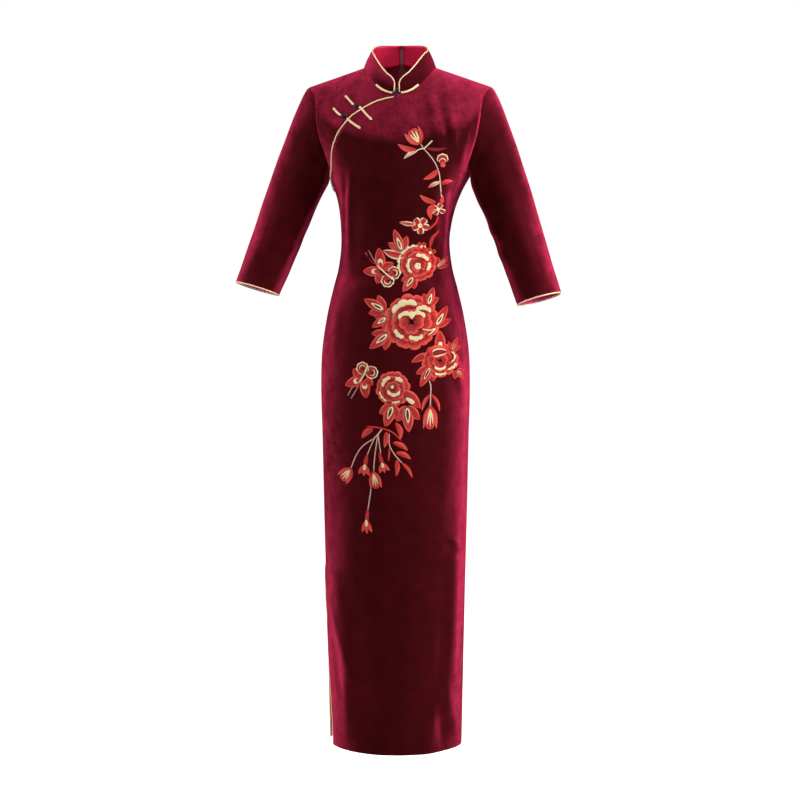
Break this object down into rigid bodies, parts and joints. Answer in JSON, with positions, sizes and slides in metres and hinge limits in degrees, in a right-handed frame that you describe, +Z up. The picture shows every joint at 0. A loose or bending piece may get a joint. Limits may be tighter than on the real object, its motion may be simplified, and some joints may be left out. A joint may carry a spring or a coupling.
{
  "type": "cheongsam dress",
  "caption": "Full-length velvet cheongsam with a stand collar, curved piped placket, frog fastenings, three-quarter sleeves, centre-back zip and one side slit.",
  "frame": {"origin": "midway between the upper ends of the two shoulder seams, where the wearer's shoulders hold the dress up", "axes": "+Z up, -Y towards the front of the dress, +X towards the wearer's left"},
  "size_m": [0.641, 0.2533, 1.3984],
  "materials": {
    "burgundy_velvet": "velvet pile",
    "crimson_satin": "satin",
    "gold_satin_piping": "satin",
    "plum_knot_satin": "satin",
    "mauve_zip_tape": "woven tape",
    "red_painted_zip_metal": "gloss",
    "embroidery_thread": "satin stitch"
  },
  "bodies": {
    "root": {"front_panel": "burgundy_velvet", "front_yoke_right": "burgundy_velvet", "back_panel_left": "burgundy_velvet", "back_panel_right": "burgundy_velvet", "sleeve_left": "burgundy_velvet", "sleeve_right": "burgundy_velvet", "collar_left": "burgundy_velvet", "collar_right": "burgundy_velvet", "collar_lining_left": "crimson_satin", "collar_lining_right": "crimson_satin", "collar_piping_left": "gold_satin_piping", "collar_piping_right": "gold_satin_piping", "placket_piping": "gold_satin_piping", "cuff_piping_left": "gold_satin_piping", "cuff_piping_right": "gold_satin_piping", "slit_piping_front": "gold_satin_piping", "slit_piping_back": "gold_satin_piping", "frog_collar_strap_a": "gold_satin_piping", "frog_collar_strap_b": "gold_satin_piping", "frog_collar_loop": "plum_knot_satin", "frog_collar_knot": "plum_knot_satin", "frog_upper_strap_a": "gold_satin_piping", "frog_upper_strap_b": "gold_satin_piping", "frog_upper_loop": "plum_knot_satin", "frog_upper_knot": "plum_knot_satin", "frog_lower_strap_a": "gold_satin_piping", "frog_lower_strap_b": "gold_satin_piping", "frog_lower_loop": "plum_knot_satin", "frog_lower_knot": "plum_knot_satin", "zip_tape_left": "mauve_zip_tape", "zip_tape_right": "mauve_zip_tape", "zip_chain": "mauve_zip_tape", "zip_slider": "red_painted_zip_metal"},
    "zip_pull": {"zip_pull": "red_painted_zip_metal"}
  },
  "joints": [
    {"name": "zip_pull_hinge", "type": "hinge", "parent": "root", "child": "zip_pull", "pos_m": [0, 0.0433, 0.04289], "axis": [1, 0, 0], "range_deg": [0, 150]}
  ]
}
